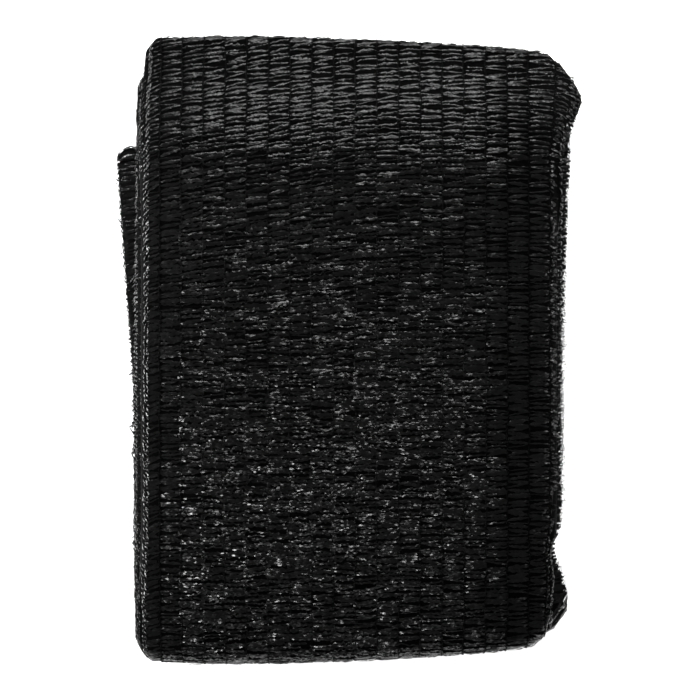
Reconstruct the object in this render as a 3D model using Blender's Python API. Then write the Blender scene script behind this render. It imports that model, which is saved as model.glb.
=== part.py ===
"""Folded shade netting.

A long knitted net is folded lengthwise into a strip about eight plies thick, and the
strip is laid back and forth into a flat pack. The solid is that strip: one closed body
whose layers lie a little apart and turn over in round folds at the back and front ends.
The pack lies flat on Z = 0, its length runs along Y, and the strip's width runs along X.
"""

import math
from collections import namedtuple

import bmesh
import bpy

# All sizes are in millimetres. The mesh is scaled to metres as it is made.
MM = 0.001

# The strip as it lies in the pack.
LAYER_THICKNESS = 2.8
LAYER_GAP = 0.7
PITCH = LAYER_THICKNESS + LAYER_GAP

# How far a fold's round end reaches past its centre, as a share of its height.
FOLD_STRETCH = 1.3
FOLD_STEPS = 4

# The pack's outline: how far its back and front ends lie from the middle at the left
# and right corners, and how much more they bow out halfway between.
OUTLINE = {"back": (184.5, 175.0, 3.3), "front": (185.0, 175.5, 4.2)}
HALF_WIDTH = 127.0
END_SIGN = {"back": 1.0, "front": -1.0}

# The middle of the pack's box in the sizes below. The part's origin is under it.
BOX_MIDDLE = (-1.75, -0.3)

# A cut-back corner spreads this many times its depth along the fold, in this curve.
CORNER_SPREAD = 1.3
CORNER_POWER = 2.5

# Each turn of the strip, from the bottom layer's free end to the top layer's free end.
# inset: how far the turn stops short of the outline. left, right: where the strip's
# edges are as it turns. corner: how far the turn's corners are cut back. ease: over what
# length the edges then come back to their layer's own line.
Turn = namedtuple(
    "Turn", "end inset_left inset_right left right corner_left corner_right ease"
)
TURNS = [
    Turn("front", 9.5, 8.5, -125.0, 122.0, 10.0, 20.0, 45.0),
    Turn("back", 4.5, 3.0, -123.0, 125.0, 12.0, 18.0, 60.0),
    Turn("front", 7.5, 8.0, -127.0, 127.0, 9.0, 19.0, 45.0),
    Turn("back", 2.5, 2.0, -126.0, 132.0, 16.0, 20.0, 150.0),
    Turn("front", 9.0, 9.5, -126.0, 125.0, 9.0, 18.0, 40.0),
    Turn("back", 4.0, 3.5, -125.0, 129.0, 14.0, 18.0, 150.0),
    Turn("front", 7.5, 7.5, -128.5, 130.0, 9.0, 20.0, 40.0),
    Turn("back", 63.5, 44.0, -138.5, 118.0, 3.0, 10.0, 145.0),
    Turn("front", 7.5, 8.0, -128.0, 129.5, 9.0, 19.0, 35.0),
    Turn("back", 3.0, 2.5, -126.5, 132.5, 16.0, 20.0, 150.0),
    Turn("front", 8.5, 9.0, -126.0, 118.5, 9.0, 13.0, 45.0),
    Turn("back", 3.5, 3.0, -120.0, 119.0, 13.0, 16.0, 40.0),
    Turn("front", 10.5, 10.5, -116.0, 116.0, 6.0, 9.0, 40.0),
    Turn("back", 0.0, 0.0, -120.5, 135.0, 8.0, 25.0, 30.0),
    Turn("front", 0.0, 0.0, -122.8, 120.0, 5.0, 10.0, 60.0),
]

# Where each layer's edges lie along its middle, from the bottom layer up.
Layer = namedtuple("Layer", "left right")
LAYERS = [
    Layer(-126.0, 123.0),
    Layer(-125.0, 124.5),
    Layer(-127.5, 125.0),
    Layer(-125.0, 126.0),
    Layer(-128.0, 124.5),
    Layer(-127.0, 126.0),
    Layer(-128.5, 122.0),
    Layer(-128.5, 124.0),
    Layer(-128.0, 126.0),
    Layer(-127.0, 125.5),
    Layer(-126.0, 115.6),
    Layer(-115.6, 115.6),
    Layer(-115.6, 115.6),
    Layer(-122.8, 126.1),
]
TOP = len(LAYERS) - 1

# The rows and columns that all layers share, so that facing sides stay parallel.
ROWS = (-158.0, -138.0, -119.0, -92.0, -20.0, 45.0, 80.0, 108.0, 127.0, 143.0, 160.0)
INNER_COLUMNS = (-112.0, -85.0, 0.0, 85.0, 112.0)
MARGIN_SHARES = (1.0, 0.7, 0.4)
ROW_SPACE = 2.0

# One turn stops short, so the layers above it settle by two layers past its end.
SHORT_TURN = 7
SETTLE_LENGTH = 44.0
SETTLE_DEPTH = 2 * PITCH

# The pack is lower along its sides and towards its two ends.
SIDE_START = 85.0
SIDE_SPAN = 42.0
SIDE_SINK = 0.14
FRONT_START = 120.0
FRONT_SPAN = 60.0
FRONT_SINK = 0.15
BACK_START = 140.0
BACK_SPAN = 40.0
BACK_SINK = 0.05

# The right margins are nipped in near the front, by this share of their width.
NIP_AT = -119.0
NIP_SPAN = 12.0
NIP_SHARE = 0.35

# The top layer's side margins curl down over the layers below, and uncurl at the ends.
CURL_START = 115.0
CURL_RADIUS = 4.0
CURL_ANGLE = math.radians(80)
CURL_CLEAR = {"back": 35.0, "front": 0.0}
CURL_FADE = {"back": 60.0, "front": 55.0}

# The top layer's free end is turned down over the front folds.
DROP_RADIUS = 9.0
DROP_ANGLE = math.radians(84)
DROP_STEPS = 4
DROP_HANG = 9.0


def mix(start, end, share):
    return start + (end - start) * share


def clamp(share):
    return min(max(share, 0.0), 1.0)


def smooth(share):
    """Eases from 0 to 1 as share does."""
    share = clamp(share)
    return share * share * (3.0 - 2.0 * share)


def corner_cut(depth, distance):
    """How far a turn is cut back, this far in from its edge."""
    share = max(0.0, 1.0 - distance / (CORNER_SPREAD * depth))
    return depth * share**CORNER_POWER


def turn_line(turn, x):
    """How far from the middle a turn's line lies at x, corners left out."""
    across = (x + HALF_WIDTH) / (2 * HALF_WIDTH)
    left, right, bow = OUTLINE[turn.end]
    inset = mix(turn.inset_left, turn.inset_right, across)
    return mix(left, right, across) + 4.0 * bow * across * (1.0 - across) - inset


def reach(turn, x):
    """The outermost Y of a turn at x."""
    distance = turn_line(turn, x)
    distance -= corner_cut(turn.corner_left, x - turn.left)
    distance -= corner_cut(turn.corner_right, turn.right - x)
    return END_SIGN[turn.end] * distance


def level(x, y):
    """The share of its full height that the pack keeps at a place."""
    side = (abs(x) - SIDE_START) / SIDE_SPAN
    front = (-y - FRONT_START) / FRONT_SPAN
    back = (y - BACK_START) / BACK_SPAN
    kept = 1.0 - SIDE_SINK * max(0.0, side)
    return kept - FRONT_SINK * smooth(front) - BACK_SINK * smooth(back)


def height(layer, x, y, z):
    """The height of a point of a layer, given its height in an even stack."""
    if layer > SHORT_TURN:
        past = y - turn_line(TURNS[SHORT_TURN], x)
        z -= SETTLE_DEPTH * smooth(past / SETTLE_LENGTH)
    return z * level(x, y)


def columns(left, right):
    """The X of each column between two edges."""
    inner = list(INNER_COLUMNS)
    left_margin = [mix(inner[0], left, share) for share in MARGIN_SHARES]
    right_margin = [mix(inner[-1], right, share) for share in MARGIN_SHARES[::-1]]
    return left_margin + inner + right_margin


def turn_centre(turn, x):
    """The Y about which a turn is round, or at which a free end is cut."""
    outer = FOLD_STRETCH * (PITCH + LAYER_THICKNESS) / 2
    return reach(turn, x) - END_SIGN[turn.end] * outer


def nipped(right, y):
    """A right edge, drawn in where the pack is nipped."""
    share = NIP_SHARE * math.exp(-(((y - NIP_AT) / NIP_SPAN) ** 2))
    return mix(right, INNER_COLUMNS[-1], share)


def edge(own, front, back, y, y_front, y_back):
    """Where an edge is at y: on its layer's line, or easing out to a turn's edge."""
    front_x, front_ease = front
    back_x, back_ease = back
    near_front = 1.0 - clamp((y - y_front) / front_ease)
    near_back = 1.0 - clamp((y_back - y) / back_ease)
    return own + (front_x - own) * near_front + (back_x - own) * near_back


def curl(x, lift, strength):
    """Bends a point of the top layer's side margin down. lift is above its underside."""
    past = abs(x) - CURL_START
    if past <= 0.0 or strength <= 0.0:
        return x, lift
    radius = CURL_RADIUS / strength
    angle = min(past / radius, CURL_ANGLE * strength)
    straight = past - radius * angle
    out = (radius + lift) * math.sin(angle) + straight * math.cos(angle)
    up = (radius + lift) * math.cos(angle) - radius - straight * math.sin(angle)
    return math.copysign(CURL_START + out, x), up


def curl_strength(end, distance):
    return smooth((distance - CURL_CLEAR[end]) / CURL_FADE[end])


def layer_points(layer):
    """The rows of a layer from front to back: for each column its lower and upper point."""
    own = LAYERS[layer]
    front, back = TURNS[layer], TURNS[layer + 1]
    if front.end == "back":
        front, back = back, front
    front_x = columns(front.left, front.right)
    back_x = columns(back.left, back.right)
    y_front = [turn_centre(front, x) for x in front_x]
    y_back = [turn_centre(back, x) for x in back_x]
    if layer == TOP:
        y_front = [drop_start(x) for x in front_x]
    rows = []
    for number, row_y in enumerate(ROWS):
        points = []
        for column in range(len(front_x)):
            lowest = y_front[column] + ROW_SPACE * (number + 1)
            highest = y_back[column] - ROW_SPACE * (len(ROWS) - number)
            y = max(lowest, min(highest, row_y))
            left = edge(
                own.left, (front.left, front.ease), (back.left, back.ease),
                y, y_front[0], y_back[0],
            )
            right = edge(
                own.right, (front.right, front.ease), (back.right, back.ease),
                y, y_front[-1], y_back[-1],
            )
            x = columns(left, nipped(right, y))[column]
            points.append(side_pair(layer, x, y, y - y_front[column], y_back[column] - y))
        rows.append(points)
    return rows


def side_pair(layer, x, y, from_front, from_back):
    """A layer's lower and upper point at one place."""
    under = layer * PITCH
    low = height(layer, x, y, under)
    high = height(layer, x, y, under + LAYER_THICKNESS)
    if layer < TOP:
        return (x, y, low), (x, y, high)
    strength = curl_strength("back", from_back) * curl_strength("front", from_front)
    low_x, low_up = curl(x, 0.0, strength)
    high_x, high_up = curl(x, high - low, strength)
    return (low_x, y, low + low_up), (high_x, y, low + high_up)


def turn_points(number):
    """The rows of the turn above a layer: for each column its inner and outer point."""
    turn = TURNS[number]
    sign = END_SIGN[turn.end]
    middle = (number * PITCH) - LAYER_GAP / 2
    rows = []
    for step in range(FOLD_STEPS + 1):
        angle = math.pi * (step / FOLD_STEPS - 0.5)
        points = []
        for x in columns(turn.left, turn.right):
            pair = []
            for radius in ((PITCH - LAYER_THICKNESS) / 2, (PITCH + LAYER_THICKNESS) / 2):
                y = turn_centre(turn, x) + sign * FOLD_STRETCH * radius * math.cos(angle)
                z = middle + radius * math.sin(angle)
                pair.append((x, y, height(number, x, y, z)))
            points.append(tuple(pair))
        rows.append(points)
    return rows


def drop_start(x):
    """The Y at which the top layer starts to turn down over the front folds."""
    outer = (DROP_RADIUS + LAYER_THICKNESS) * math.sin(DROP_ANGLE)
    return reach(TURNS[-1], x) + outer + DROP_HANG * math.cos(DROP_ANGLE)


def drop_points():
    """The rows of the top layer's turned-down end: its inner and outer point."""
    turn = TURNS[-1]
    bends = [(DROP_ANGLE * step / DROP_STEPS, 0.0) for step in range(DROP_STEPS + 1)]
    rows = []
    for angle, hang in bends + [(DROP_ANGLE, DROP_HANG)]:
        points = []
        for x in columns(turn.left, turn.right):
            y = drop_start(x)
            low = height(TOP, x, y, TOP * PITCH)
            high = height(TOP, x, y, TOP * PITCH + LAYER_THICKNESS)
            pair = []
            for lift in (0.0, high - low):
                arm = DROP_RADIUS + lift
                out = arm * math.sin(angle) + hang * math.cos(angle)
                down = DROP_RADIUS - arm * math.cos(angle) + hang * math.sin(angle)
                pair.append((x, y - out, low - down))
            points.append(tuple(pair))
        rows.append(points)
    return rows


def free_end_points():
    """The bottom layer's cut end."""
    turn = TURNS[0]
    points = []
    for x in columns(turn.left, turn.right):
        y = turn_centre(turn, x)
        points.append(side_pair(0, x, y, 0.0, 0.0))
    return points


def strip_rows():
    """Every row of the strip in order, as pairs whose first point stays on one side."""
    rows = [free_end_points()]
    for layer in range(len(LAYERS)):
        run = layer_points(layer)
        forward = layer % 2 == 0
        rows += run if forward else [swap(row) for row in run[::-1]]
        if layer < TOP:
            turn = turn_points(layer + 1)
            rows += [swap(row) for row in turn] if forward else turn
    return rows + [swap(row) for row in drop_points()]


def swap(row):
    return [(second, first) for first, second in row]


def to_metres(point):
    x, y, z = point
    return MM * (x - BOX_MIDDLE[0]), MM * (y - BOX_MIDDLE[1]), MM * z


def add_quad(mesh, near, far):
    """Two triangles between two pairs of points."""
    mesh.faces.new((near[0], near[1], far[1]))
    mesh.faces.new((near[0], far[1], far[0]))


def build_strip(rows):
    """One closed mesh from the rows: two sides, two edges and two ends."""
    mesh = bmesh.new()
    grid = []
    for row in rows:
        grid.append([[mesh.verts.new(to_metres(point)) for point in pair] for pair in row])
    last = len(grid[0]) - 1
    for near, far in zip(grid, grid[1:]):
        for column in range(last):
            for side in (0, 1):
                add_quad(
                    mesh,
                    (near[column][side], near[column + 1][side]),
                    (far[column][side], far[column + 1][side]),
                )
        for column in (0, last):
            add_quad(mesh, near[column], far[column])
    for row in (grid[0], grid[-1]):
        for column in range(last):
            add_quad(mesh, row[column], row[column + 1])
    bmesh.ops.recalc_face_normals(mesh, faces=mesh.faces)
    return mesh


def net_material():
    """Black stabilised polyethylene tape: dark, smooth and a little glossy."""
    material = bpy.data.materials.new("black_net")
    material.use_nodes = True
    shader = material.node_tree.nodes["Principled BSDF"]
    shader.inputs["Base Color"].default_value = (0.012, 0.013, 0.012, 1.0)
    shader.inputs["Roughness"].default_value = 0.4
    shader.inputs["Metallic"].default_value = 0.0
    return material


for old in list(bpy.data.objects):
    bpy.data.objects.remove(old)

strip = build_strip(strip_rows())
data = bpy.data.meshes.new("netting")
strip.to_mesh(data)
strip.free()
data.shade_smooth()
data.set_sharp_from_angle(angle=math.radians(50))
data.materials.append(net_material())
bpy.context.scene.collection.objects.link(bpy.data.objects.new("netting", data))
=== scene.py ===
"""The looks of a folded pack of black knitted shade netting, lying flat on a pale floor."""

import math
from collections import namedtuple

import bpy
import numpy as np
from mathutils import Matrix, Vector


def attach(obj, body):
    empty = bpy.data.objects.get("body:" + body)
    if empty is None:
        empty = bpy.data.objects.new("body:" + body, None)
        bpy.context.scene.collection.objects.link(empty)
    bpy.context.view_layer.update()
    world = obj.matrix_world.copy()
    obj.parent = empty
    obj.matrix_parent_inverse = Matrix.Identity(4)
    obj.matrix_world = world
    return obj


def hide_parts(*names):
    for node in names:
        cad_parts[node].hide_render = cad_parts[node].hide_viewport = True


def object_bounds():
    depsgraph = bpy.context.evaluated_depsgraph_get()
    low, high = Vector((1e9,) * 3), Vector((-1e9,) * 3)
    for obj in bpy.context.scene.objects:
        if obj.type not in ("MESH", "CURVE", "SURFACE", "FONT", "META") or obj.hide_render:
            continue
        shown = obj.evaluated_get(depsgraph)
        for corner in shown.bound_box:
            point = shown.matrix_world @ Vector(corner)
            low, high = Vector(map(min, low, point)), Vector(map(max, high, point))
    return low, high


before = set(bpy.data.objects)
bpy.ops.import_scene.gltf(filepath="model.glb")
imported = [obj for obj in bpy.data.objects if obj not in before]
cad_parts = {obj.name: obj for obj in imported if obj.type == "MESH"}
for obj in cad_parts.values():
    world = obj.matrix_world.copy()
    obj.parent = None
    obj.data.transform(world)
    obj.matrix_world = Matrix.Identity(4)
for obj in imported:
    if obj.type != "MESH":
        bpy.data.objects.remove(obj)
cad_box = [list(corner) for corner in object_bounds()]


# --------------------------------
# The folded strip. A knitted net of black polyethylene tape is folded lengthwise to eight
# plies, and the strip is laid back and forth in fourteen layers. Nothing holds it: its own
# weight keeps the folds shut. This is its dark ground, with each ply's folded edge.

# The net's sizes are in millimetres, and its materials' and the studio's are in metres.
MM = 0.001
LAYER_THICKNESS = 2.8
LAYER_GAP = 0.7
PITCH = LAYER_THICKNESS + LAYER_GAP
FOLD_STRETCH = 1.3
HALF_WIDTH = 127.0
MARGIN_START = 112.0
BOX_MIDDLE = (-1.75, -0.3)

# How far the pack's ends lie from its middle at the left and right corners, and their bow.
OUTLINE = {"back": (184.5, 175.0, 3.3), "front": (185.0, 175.5, 4.2)}
END_SIGN = {"back": 1.0, "front": -1.0}
CORNER_SPREAD = 1.3
CORNER_POWER = 2.5

# How uneven the pack's ends are from tape to tape, and how much more so at the right.
RAGGED = {"back": 0.3, "front": 0.1}
RAGGED_RIGHT, RIGHT_START, RIGHT_SPAN = 0.5, 104.0, 10.0
RAGGED_STEP, RAGGED_SHIFT = 1.15, 3.0

# Each turn of the strip from the bottom up: how far it stops short of the outline, where
# the strip's edges are, how far its corners are cut back, and how long its edges ease.
Turn = namedtuple("Turn", "end inset_left inset_right left right corner_left corner_right ease")
TURNS = [
    Turn("front", 9.5, 8.5, -125.0, 122.0, 10.0, 20.0, 45.0),
    Turn("back", 4.5, 3.0, -123.0, 125.0, 12.0, 18.0, 60.0),
    Turn("front", 5.0, 6.5, -127.0, 127.0, 7.0, 13.0, 45.0),
    Turn("back", 2.5, 2.0, -126.0, 132.0, 24.0, 20.0, 150.0),
    Turn("front", 9.0, 9.5, -126.0, 125.0, 9.0, 18.0, 40.0),
    Turn("back", 4.0, 3.5, -125.0, 129.0, 22.0, 18.0, 150.0),
    Turn("front", 5.0, 6.0, -128.5, 130.0, 7.0, 14.0, 40.0),
    Turn("back", 63.5, 44.0, -138.5, 118.0, 3.0, 10.0, 145.0),
    Turn("front", 7.5, 8.0, -128.0, 129.5, 9.0, 19.0, 35.0),
    Turn("back", 3.0, 2.5, -126.5, 132.5, 24.0, 20.0, 150.0),
    Turn("front", 8.5, 9.0, -126.0, 118.5, 9.0, 13.0, 45.0),
    Turn("back", 3.5, 3.0, -120.0, 119.0, 13.0, 16.0, 40.0),
    Turn("front", 10.5, 10.5, -116.0, 116.0, 6.0, 9.0, 40.0),
    Turn("back", 0.0, 0.0, -120.5, 136.6, 8.0, 23.5, 30.0),
    Turn("front", -1.2, 0.0, -125.6, 120.0, 8.0, 14.0, 60.0),
]
Layer = namedtuple("Layer", "left right")
LAYERS = [
    Layer(-126.0, 123.0),
    Layer(-125.0, 124.5),
    Layer(-127.5, 125.0),
    Layer(-125.0, 126.0),
    Layer(-128.0, 124.5),
    Layer(-127.0, 126.0),
    Layer(-128.5, 122.0),
    Layer(-128.5, 124.0),
    Layer(-128.0, 126.0),
    Layer(-127.0, 125.5),
    Layer(-126.0, 115.6),
    Layer(-115.6, 115.6),
    Layer(-115.6, 115.6),
    Layer(-122.8, 126.1),
]
TOP = len(LAYERS) - 1

# The layers above the short turn settle past it, and the pack is lower round its rim. At
# one place near the front its right side is nipped in.
SHORT_TURN = 7
SETTLE_LENGTH = 44.0
SETTLE_DEPTH = 2 * PITCH
SIDE_START, SIDE_SPAN, SIDE_SINK = 85.0, 42.0, 0.14
FRONT_START, FRONT_SPAN, FRONT_SINK = 120.0, 60.0, 0.15
BACK_START, BACK_SPAN, BACK_SINK = 140.0, 40.0, 0.05
NIP_AT, NIP_SPAN, NIP_SHARE = -119.0, 12.0, 0.35

# The top layer's margins curl down at the sides, and its free end drops over the front.
CURL_LEFT, CURL_RIGHT, CURL_ANGLE = (118.6, 2.4), (119.3, 1.7), math.radians(80)
CURL_CLEAR = {"back": 35.0, "front": 0.0}
CURL_FADE = {"back": 60.0, "front": 55.0}
DROP_RADIUS, DROP_ANGLE, DROP_HANG = 9.0, math.radians(84), 9.0

# Each layer is eight plies, so its edge shows four folds, one above another. Each strays
# in and out, slowly and quickly, and a notch parts it from the next.
EDGE_FOLDS = 4
FOLD_SHARES = (0.3, 0.7)
FOLD_NOTCH = 0.9
FOLD_SET_BACK = 0.2
SLOW_WANDER, SLOW_STEP = 0.5, 45.0
QUICK_WANDER, QUICK_STEP = 0.2, 9.0
BULGE_LIMITS = (-1.1, 0.6)

# The tapes wrapped round the folds stand out, so the ground's own rims are drawn in by
# this much, and by less at the back corners.
LEFT_DRAW, RIGHT_DRAW = 0.5, 2.3
DRAW_START, DRAW_SPAN = 116.0, 9.0
BACK_LESS, LESS_START, LESS_SPAN = 0.75, 131.0, 6.0

# How fine the mesh of the ground is, along the strip and across it.
LAYER_ROWS = 44
TURN_ROWS = 9
DROP_ROWS = 9
INNER_COLUMNS = 15
MARGIN_COLUMNS = 8


def mix(start, end, share):
    return start + (end - start) * share


def smooth(share):
    share = np.clip(share, 0.0, 1.0)
    return share * share * (3.0 - 2.0 * share)


def corner_cut(depth, distance):
    share = np.maximum(0.0, 1.0 - distance / (CORNER_SPREAD * depth))
    return depth * share**CORNER_POWER


def turn_line(turn, x):
    """How far from the middle a turn's line lies at x, corners left out."""
    across = (x + HALF_WIDTH) / (2 * HALF_WIDTH)
    left, right, bow = OUTLINE[turn.end]
    inset = mix(turn.inset_left, turn.inset_right, across)
    return mix(left, right, across) + 4.0 * bow * across * (1.0 - across) - inset


def reach(turn, x):
    """The Y of a turn's outermost line at x, with its corners cut back."""
    ragged = RAGGED[turn.end] + RAGGED_RIGHT * smooth((x - RIGHT_START) / RIGHT_SPAN)
    uneven = ragged * np.sin(x / RAGGED_STEP + RAGGED_SHIFT * turn.inset_left)
    distance = turn_line(turn, x) + uneven
    distance = distance - corner_cut(turn.corner_left, x - turn.left)
    distance = distance - corner_cut(turn.corner_right, turn.right - x)
    return END_SIGN[turn.end] * distance


def turn_centre(turn, x):
    outer = FOLD_STRETCH * (PITCH + LAYER_THICKNESS) / 2
    return reach(turn, x) - END_SIGN[turn.end] * outer


def height(layer, x, y, z):
    """The height of a point of a layer, given its height in an even stack."""
    if layer > SHORT_TURN:
        past = y - turn_line(TURNS[SHORT_TURN], x)
        z = z - SETTLE_DEPTH * smooth(past / SETTLE_LENGTH)
    kept = 1.0 - SIDE_SINK * np.maximum(0.0, (np.abs(x) - SIDE_START) / SIDE_SPAN)
    kept = kept - FRONT_SINK * smooth((-y - FRONT_START) / FRONT_SPAN)
    return z * (kept - BACK_SINK * smooth((y - BACK_START) / BACK_SPAN))


def spread(across, left, right):
    """The X of a line of the strip: only its margins widen or narrow with its edges."""
    side = np.sign(across)
    margin = np.maximum(0.0, (np.abs(across) - MARGIN_START) / (HALF_WIDTH - MARGIN_START))
    edge = np.where(across < 0.0, left, right)
    return np.where(margin > 0.0, mix(side * MARGIN_START, edge, margin), across)


def curl(x, lift, strength):
    """Bends a point of the top layer's side margin down. lift is above its underside."""
    start, radius = (np.where(x < 0.0, *pair) for pair in zip(CURL_LEFT, CURL_RIGHT))
    past = np.maximum(0.0, np.abs(x) - start)
    radius = radius / np.maximum(strength, 1e-4)
    angle = np.minimum(past / radius, CURL_ANGLE * strength)
    straight = past - radius * angle
    out = (radius + lift) * np.sin(angle) + straight * np.cos(angle)
    up = (radius + lift) * np.cos(angle) - radius - straight * np.sin(angle)
    curled = np.copysign(start + out, x)
    return np.where(past > 0.0, curled, x), np.where(past > 0.0, up, lift)


def drop_start(x):
    outer = (DROP_RADIUS + LAYER_THICKNESS) * math.sin(DROP_ANGLE)
    return reach(TURNS[-1], x) + outer + DROP_HANG * math.cos(DROP_ANGLE)


def points_of(x, y, z):
    return np.stack(np.broadcast_arrays(x, y, z), axis=-1)


def layer_points(layer, across, along):
    """A layer's lower and upper points. along runs from 0 at its front to 1 at its back."""
    own = LAYERS[layer]
    front, back = TURNS[layer], TURNS[layer + 1]
    if front.end == "back":
        front, back = back, front
    start = drop_start if layer == TOP else lambda x: turn_centre(front, x)
    y_front = start(spread(across, front.left, front.right))
    y_back = turn_centre(back, spread(across, back.left, back.right))
    y = mix(y_front, y_back, along)
    edges = []
    for side in ("left", "right"):
        front_x, back_x, own_x = (getattr(one, side) for one in (front, back, own))
        near_front = 1.0 - np.clip((y - start(front_x)) / front.ease, 0.0, 1.0)
        near_back = 1.0 - np.clip((turn_centre(back, back_x) - y) / back.ease, 0.0, 1.0)
        edges.append(own_x + (front_x - own_x) * near_front + (back_x - own_x) * near_back)
    nip = NIP_SHARE * np.exp(-(((y - NIP_AT) / NIP_SPAN) ** 2))
    x = spread(across, edges[0], mix(edges[1], MARGIN_START, nip))
    under = layer * PITCH
    low = height(layer, x, y, under)
    high = height(layer, x, y, under + LAYER_THICKNESS)
    if layer < TOP:
        return points_of(x, y, low), points_of(x, y, high)
    strength = smooth((y_back - y - CURL_CLEAR["back"]) / CURL_FADE["back"])
    strength = strength * smooth((y - y_front - CURL_CLEAR["front"]) / CURL_FADE["front"])
    low_x, low_up = curl(x, 0.0, strength)
    high_x, high_up = curl(x, high - low, strength)
    return points_of(low_x, y, low + low_up), points_of(high_x, y, low + high_up)


def turn_points(number, across, angle):
    """The inner and outer points of the turn under a layer. angle is 0 at its furthest."""
    turn = TURNS[number]
    x = spread(across, turn.left, turn.right)
    sides = []
    for radius in ((PITCH - LAYER_THICKNESS) / 2, (PITCH + LAYER_THICKNESS) / 2):
        out = END_SIGN[turn.end] * FOLD_STRETCH * radius * np.cos(angle)
        y = turn_centre(turn, x) + out
        z = number * PITCH - LAYER_GAP / 2 + radius * np.sin(angle)
        sides.append(points_of(x, y, height(number, x, y, z)))
    return sides


def drop_points(across, share):
    """The inner and outer points of the top layer's turned-down end."""
    x = spread(across, TURNS[-1].left, TURNS[-1].right)
    y = drop_start(x)
    low = height(TOP, x, y, TOP * PITCH)
    high = height(TOP, x, y, TOP * PITCH + LAYER_THICKNESS)
    bend = DROP_RADIUS * DROP_ANGLE
    length = share * (bend + DROP_HANG)
    angle = np.minimum(length, bend) / DROP_RADIUS
    hang = np.maximum(0.0, length - bend)
    sides = []
    for lift in (0.0, high - low):
        arm = DROP_RADIUS + lift
        out = arm * np.sin(angle) + hang * np.cos(angle)
        down = DROP_RADIUS - arm * np.cos(angle) + hang * np.sin(angle)
        sides.append(points_of(x, y - out, low - down))
    return sides


def strip_rows(across):
    """The strip's two sides as rows of points, from the bottom free end to the top one."""
    across = across[None, :]
    along = np.linspace(0.0, 1.0, LAYER_ROWS + 2)[1:-1, None]
    turning = np.linspace(-0.5, 0.5, TURN_ROWS)[:, None] * math.pi
    rows = []
    for layer in range(TOP + 1):
        low, high = layer_points(layer, across, along)
        forward = layer % 2 == 0
        rows.append((low, high) if forward else (high[::-1], low[::-1]))
        if layer < TOP:
            inner, outer = turn_points(layer + 1, across, turning)
            rows.append((outer, inner) if forward else (inner, outer))
    inner, outer = drop_points(across, np.linspace(0.0, 1.0, DROP_ROWS)[:, None])
    rows.append((outer, inner))
    return [np.concatenate([pair[side] for pair in rows]) for side in (0, 1)]


def unit(vectors):
    return vectors / np.maximum(np.linalg.norm(vectors, axis=-1, keepdims=True), 1e-9)


def wander(place, step, chance):
    """A smooth uneven line about zero, of about unit size, that changes over each step."""
    knots = chance.normal(size=int(np.max(place) / step) + 3)
    whole = np.floor(place / step).astype(int)
    return mix(knots[whole], knots[whole + 1], smooth(place / step - whole))


# An edge of the strip: places along it, its two rims, the way out of it, and how far out
# each ply's fold lies.
Edge = namedtuple("Edge", "place rims outward bulges")


def strip_edge(sides, column, inner_column, chance):
    rims = [side[:, column] for side in sides]
    middle = (rims[0] + rims[1]) / 2
    inside = (sides[0][:, inner_column] + sides[1][:, inner_column]) / 2
    steps = np.linalg.norm(np.diff(middle, axis=0), axis=1)
    place = np.concatenate([[0.0], np.cumsum(steps)])
    bulges = []
    for _ in range(EDGE_FOLDS):
        slow = SLOW_WANDER * wander(place, SLOW_STEP, chance)
        quick = QUICK_WANDER * wander(place, QUICK_STEP, chance)
        bulges.append(np.clip(slow + quick - FOLD_SET_BACK, *BULGE_LIMITS))
    return Edge(place, rims, unit(middle - inside), bulges)


def folded_edge(edge):
    """The rows of points down an edge, bulging at each ply's fold and notched between."""
    lines = []
    for fold, bulge in enumerate(edge.bulges):
        for share in FOLD_SHARES:
            line = mix(*edge.rims, (fold + share) / EDGE_FOLDS)
            lines.append(line + edge.outward * bulge[:, None])
        if fold < EDGE_FOLDS - 1:
            line = mix(*edge.rims, (fold + 1.0) / EDGE_FOLDS)
            lines.append(line + edge.outward * (bulge - FOLD_NOTCH)[:, None])
    return np.stack(lines, axis=1)


def make_piece(name, points, faces, material):
    """A mesh object from points in millimetres, moved to put the pack's box in the middle."""
    points = (points.reshape(-1, 3) - (*BOX_MIDDLE, 0.0)) * MM
    points[:, 2] = np.maximum(points[:, 2], 0.0)
    mesh = bpy.data.meshes.new(name)
    mesh.from_pydata(points.tolist(), [], faces)
    mesh.shade_smooth()
    mesh.materials.append(material)
    piece = bpy.data.objects.new(name, mesh)
    bpy.context.scene.collection.objects.link(piece)
    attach(piece, "root")
    return piece


class Shade:
    """One output of a shader node, on which sums can be written as plain expressions."""

    def __init__(self, tree, output):
        self.tree = tree
        self.output = output

    @classmethod
    def node(cls, tree, kind, settings=None, sockets=None, output=0):
        """Adds any node: its settings first, then the values or links of its sockets."""
        made = tree.nodes.new(kind)
        for key, value in (settings or {}).items():
            if key == "stops":
                for stop, (place, colour) in zip(made.color_ramp.elements, value):
                    stop.position = place
                    stop.color = colour
            else:
                setattr(made, key, value)
        for key, value in (sockets or {}).items():
            if isinstance(value, Shade):
                tree.links.new(value.output, made.inputs[key])
            else:
                made.inputs[key].default_value = value
        return cls(tree, made.outputs[output])

    def sum_with(self, operation, first, second):
        return self.node(
            self.tree, "ShaderNodeMath", {"operation": operation}, {0: first, 1: second}
        )

    def __add__(self, other):
        return self.sum_with("ADD", self, other)

    __radd__ = __add__

    def __sub__(self, other):
        return self.sum_with("SUBTRACT", self, other)

    def __rsub__(self, other):
        return self.sum_with("SUBTRACT", other, self)

    def __mul__(self, other):
        return self.sum_with("MULTIPLY", self, other)

    __rmul__ = __mul__


def new_material(name, values):
    """A material, its tree and its Principled shader, some of whose sockets get values."""
    material = bpy.data.materials.new(name)
    material.use_nodes = True
    tree = material.node_tree
    shader = tree.nodes["Principled BSDF"]
    for socket, value in values.items():
        shader.inputs[socket].default_value = value
    return material, tree, shader


def place_of(tree, kind="Object"):
    return Shade.node(tree, "ShaderNodeTexCoord", output=kind)


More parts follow.
